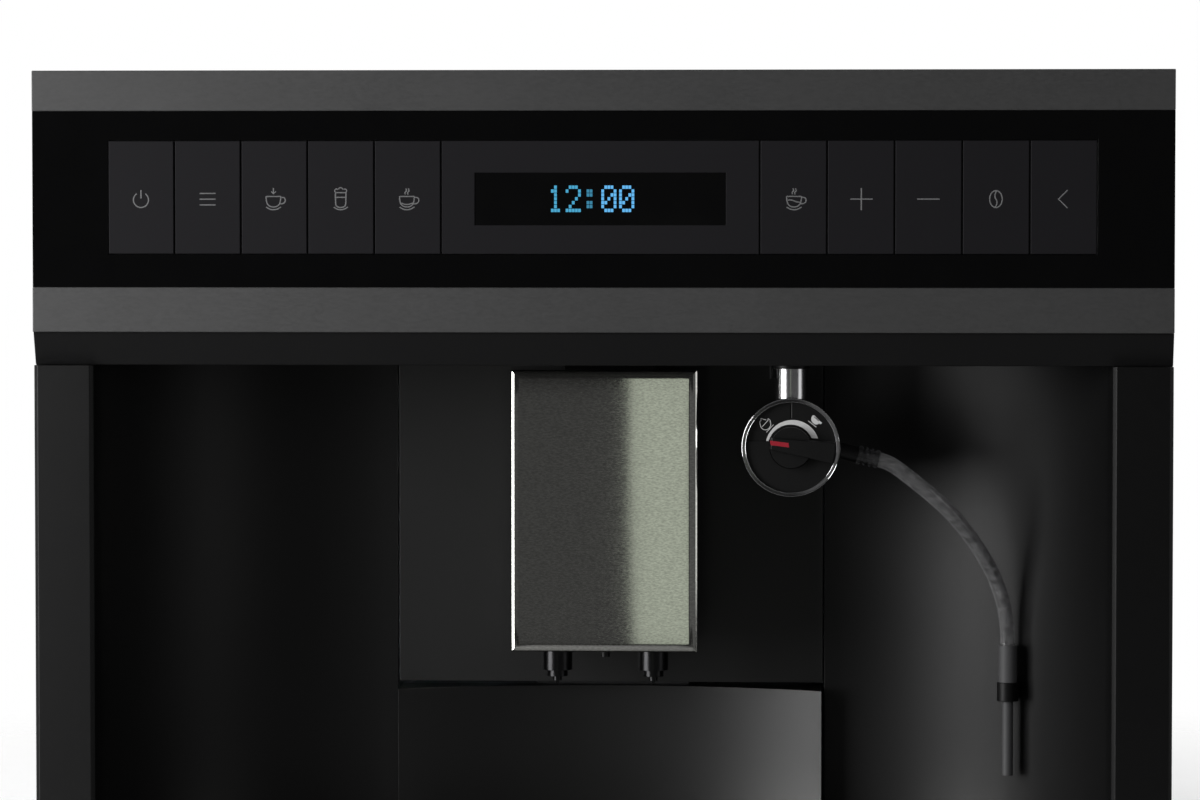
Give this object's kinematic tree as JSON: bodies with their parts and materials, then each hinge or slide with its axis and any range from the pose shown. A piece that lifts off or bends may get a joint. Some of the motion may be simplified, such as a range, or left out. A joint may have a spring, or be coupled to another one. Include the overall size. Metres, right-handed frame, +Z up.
{
  "type": "built-in coffee machine",
  "caption": "Built-in bean-to-cup coffee machine that pulls out of its cabinet on rails, with cup bay, milk frother, key row, drip drawer, bean hopper and water tank.",
  "frame": {"origin": "on the niche floor, at the middle of the overall width and depth", "axes": "+X to the user's right, +Y to the back of the cabinet, +Z up"},
  "size_m": [0.595, 0.53, 0.455],
  "materials": {
    "galvanised_steel": "satin",
    "screw_steel": "satin",
    "graphite_trim": "satin",
    "black_glass": "gloss",
    "key_grey": "matte",
    "display_black": "gloss",
    "skirt_black": "satin",
    "bay_black": "satin",
    "wall_black": "satin",
    "spout_steel": "brushed",
    "bright_chrome": "polished",
    "dark_chrome": "polished",
    "frother_black": "satin",
    "clear_silicone": "satin",
    "smoke_plastic": "gloss",
    "grey_plastic": "matte",
    "clear_plastic": "gloss",
    "board_green": "matte",
    "motor_steel": "satin",
    "burr_steel": "satin",
    "cast_aluminium": "cast"
  },
  "bodies": {
    "mounting_frame": {"mounting_plate": "galvanised_steel", "fixed_rails": "galvanised_steel"},
    "rail_members": {"middle_rails": "galvanised_steel"},
    "machine": {"sliding_rails": "galvanised_steel", "base_pan": "galvanised_steel", "side_cover_left": "galvanised_steel", "side_cover_right": "galvanised_steel", "rear_cover": "galvanised_steel", "top_cover": "galvanised_steel", "cover_screws": "screw_steel", "bay_side_left": "wall_black", "bay_side_right": "wall_black", "bay_centre_panel": "bay_black", "control_housing": "skirt_black", "panel_glass": "black_glass", "upper_trim": "graphite_trim", "lower_trim": "graphite_trim", "panel_skirt": "skirt_black", "display_surround": "key_grey", "display_window": "display_black", "control_board": "board_green", "steam_pipe": "bright_chrome", "frother_body": "frother_black", "frother_ring": "bright_chrome", "frother_dial": "frother_black", "hose_connector": "smoke_plastic", "milk_hose": "clear_silicone", "suction_tube": "grey_plastic", "inner_frame": "galvanised_steel", "brew_housing": "grey_plastic", "grinder_motor": "motor_steel", "grinder_housing": "grey_plastic", "bean_hopper": "smoke_plastic", "boiler": "cast_aluminium", "water_pump": "motor_steel", "power_board": "board_green", "mains_inlet": "grey_plastic"},
    "spout": {"spout_cover": "spout_steel", "spout_carrier": "frother_black", "spout_nozzles": "dark_chrome"},
    "frother_lever": {"frother_lever": "frother_black"},
    "drip_drawer": {"drawer_front": "graphite_trim", "drip_tray": "grey_plastic", "grounds_container": "grey_plastic", "grounds_front": "bay_black"},
    "drip_grid": {"drip_grid": "spout_steel"},
    "hopper_lid": {"hopper_lid": "smoke_plastic"},
    "water_tank": {"tank_body": "clear_plastic"},
    "grinding_cone": {"grinding_cone": "burr_steel"},
    "brew_piston": {"brew_piston": "grey_plastic"},
    "key_01": {"key_01": "key_grey"},
    "key_02": {"key_02": "key_grey"},
    "key_03": {"key_03": "key_grey"},
    "key_04": {"key_04": "key_grey"},
    "key_05": {"key_05": "key_grey"},
    "key_06": {"key_06": "key_grey"},
    "key_07": {"key_07": "key_grey"},
    "key_08": {"key_08": "key_grey"},
    "key_09": {"key_09": "key_grey"},
    "key_10": {"key_10": "key_grey"}
  },
  "joints": [
    {"name": "machine_slide", "type": "slide", "parent": "mounting_frame", "child": "machine", "axis": [0, -1, 0], "range_m": [0, 0.3]},
    {"name": "rail_slide", "type": "slide", "parent": "mounting_frame", "child": "rail_members", "axis": [0, -1, 0], "range_m": [0, 0.15]},
    {"name": "spout_slide", "type": "slide", "parent": "machine", "child": "spout", "axis": [0, 0, 1], "range_m": [-0.005, 0.05]},
    {"name": "lever_turn", "type": "hinge", "parent": "machine", "child": "frother_lever", "pos_m": [0.0991, -0.245, 0.25755], "axis": [0, 1, 0], "range_deg": [0, 165]},
    {"name": "drawer_slide", "type": "slide", "parent": "machine", "child": "drip_drawer", "axis": [0, -1, 0], "range_m": [0, 0.29]},
    {"name": "grid_lift", "type": "slide", "parent": "drip_drawer", "child": "drip_grid", "axis": [0, 0, 1], "range_m": [0, 0.03]},
    {"name": "hopper_lid_hinge", "type": "hinge", "parent": "machine", "child": "hopper_lid", "pos_m": [0, 0.069, 0.4495], "axis": [-1, 0, 0], "range_deg": [0, 100]},
    {"name": "tank_slide", "type": "slide", "parent": "machine", "child": "water_tank", "axis": [-1, 0, 0], "range_m": [0, 0.16]},
    {"name": "burr_spin", "type": "hinge", "parent": "machine", "child": "grinding_cone", "pos_m": [0, -0.011, 0.221], "axis": [0, 0, 1], "continuous": true},
    {"name": "piston_slide", "type": "slide", "parent": "machine", "child": "brew_piston", "axis": [0, 0, 1], "range_m": [0, 0.03]},
    {"name": "key_01_press", "type": "slide", "parent": "machine", "child": "key_01", "axis": [0, 1, 0], "range_m": [0, 0.0008], "stiffness_N_per_m": 400, "springref_m": -0.002},
    {"name": "key_02_press", "type": "slide", "parent": "machine", "child": "key_02", "axis": [0, 1, 0], "range_m": [0, 0.0008], "stiffness_N_per_m": 400, "springref_m": -0.002},
    {"name": "key_03_press", "type": "slide", "parent": "machine", "child": "key_03", "axis": [0, 1, 0], "range_m": [0, 0.0008], "stiffness_N_per_m": 400, "springref_m": -0.002},
    {"name": "key_04_press", "type": "slide", "parent": "machine", "child": "key_04", "axis": [0, 1, 0], "range_m": [0, 0.0008], "stiffness_N_per_m": 400, "springref_m": -0.002},
    {"name": "key_05_press", "type": "slide", "parent": "machine", "child": "key_05", "axis": [0, 1, 0], "range_m": [0, 0.0008], "stiffness_N_per_m": 400, "springref_m": -0.002},
    {"name": "key_06_press", "type": "slide", "parent": "machine", "child": "key_06", "axis": [0, 1, 0], "range_m": [0, 0.0008], "stiffness_N_per_m": 400, "springref_m": -0.002},
    {"name": "key_07_press", "type": "slide", "parent": "machine", "child": "key_07", "axis": [0, 1, 0], "range_m": [0, 0.0008], "stiffness_N_per_m": 400, "springref_m": -0.002},
    {"name": "key_08_press", "type": "slide", "parent": "machine", "child": "key_08", "axis": [0, 1, 0], "range_m": [0, 0.0008], "stiffness_N_per_m": 400, "springref_m": -0.002},
    {"name": "key_09_press", "type": "slide", "parent": "machine", "child": "key_09", "axis": [0, 1, 0], "range_m": [0, 0.0008], "stiffness_N_per_m": 400, "springref_m": -0.002},
    {"name": "key_10_press", "type": "slide", "parent": "machine", "child": "key_10", "axis": [0, 1, 0], "range_m": [0, 0.0008], "stiffness_N_per_m": 400, "springref_m": -0.002}
  ],
  "couplings": [
    {"joint": "rail_slide", "follows": "machine_slide", "ratio": 0.5}
  ]
}
